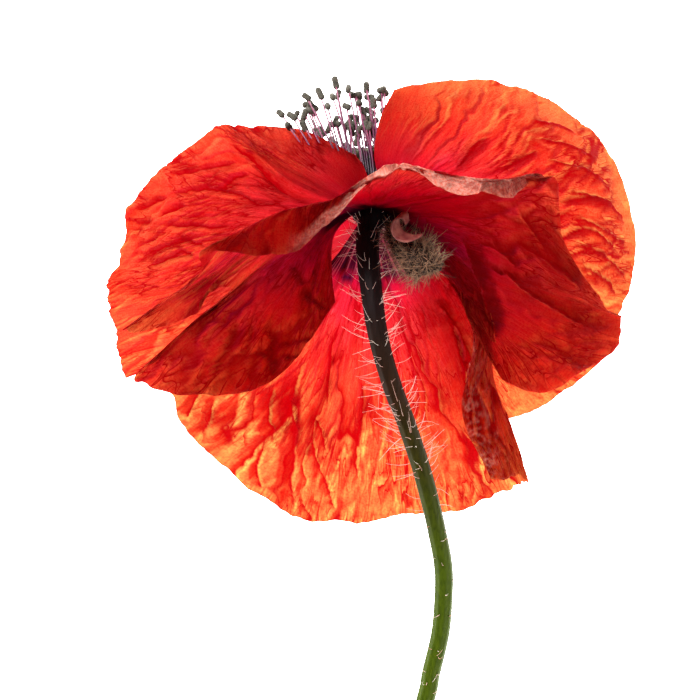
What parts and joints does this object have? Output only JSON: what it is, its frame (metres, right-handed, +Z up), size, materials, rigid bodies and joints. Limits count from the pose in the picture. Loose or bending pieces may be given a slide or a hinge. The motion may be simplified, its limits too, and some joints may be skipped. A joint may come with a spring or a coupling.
{
  "type": "poppy flower",
  "caption": "Cut corn poppy lying on its open side: crumpled petals, hairy stem with receptacle, withered sepal, seed capsule and stamens.",
  "frame": {"origin": "centre of the bounding box, at its base on the table", "axes": "+Z up from the table, the shortest side; the stem's cut end points towards -Y and the stamens towards +Y, the longest side; +X to the right of a viewer who looks down with the stem towards them"},
  "size_m": [0.0694, 0.106, 0.0353],
  "materials": {
    "petal": "silky, thin, lets light through",
    "stem": "matte, with fine bristly hairs",
    "pistil": "matte",
    "sepal": "dry, bristly",
    "stamen": "dusty matte"
  },
  "bodies": {
    "root": {"petal_back": "petal", "petal_right": "petal", "petal_left": "petal", "petal_front": "petal", "stem": "stem", "pistil": "pistil", "sepal": "sepal", "stamen_01": "stamen", "stamen_02": "stamen", "stamen_03": "stamen", "stamen_04": "stamen", "stamen_05": "stamen", "stamen_06": "stamen", "stamen_07": "stamen", "stamen_08": "stamen", "stamen_09": "stamen", "stamen_10": "stamen", "stamen_11": "stamen", "stamen_12": "stamen", "stamen_13": "stamen", "stamen_14": "stamen", "stamen_15": "stamen", "stamen_16": "stamen", "stamen_17": "stamen", "stamen_18": "stamen", "stamen_19": "stamen", "stamen_20": "stamen", "stamen_21": "stamen", "stamen_22": "stamen", "stamen_23": "stamen", "stamen_24": "stamen", "stamen_25": "stamen", "stamen_26": "stamen", "stamen_27": "stamen", "stamen_28": "stamen", "stamen_29": "stamen", "stamen_30": "stamen", "stamen_31": "stamen", "stamen_32": "stamen", "stamen_33": "stamen", "stamen_34": "stamen", "stamen_35": "stamen", "stamen_36": "stamen", "stamen_37": "stamen", "stamen_38": "stamen", "stamen_39": "stamen", "stamen_40": "stamen", "stamen_41": "stamen", "stamen_42": "stamen", "stamen_43": "stamen", "stamen_44": "stamen", "stamen_45": "stamen", "stamen_46": "stamen", "stamen_47": "stamen", "stamen_48": "stamen"}
  },
  "joints": []
}
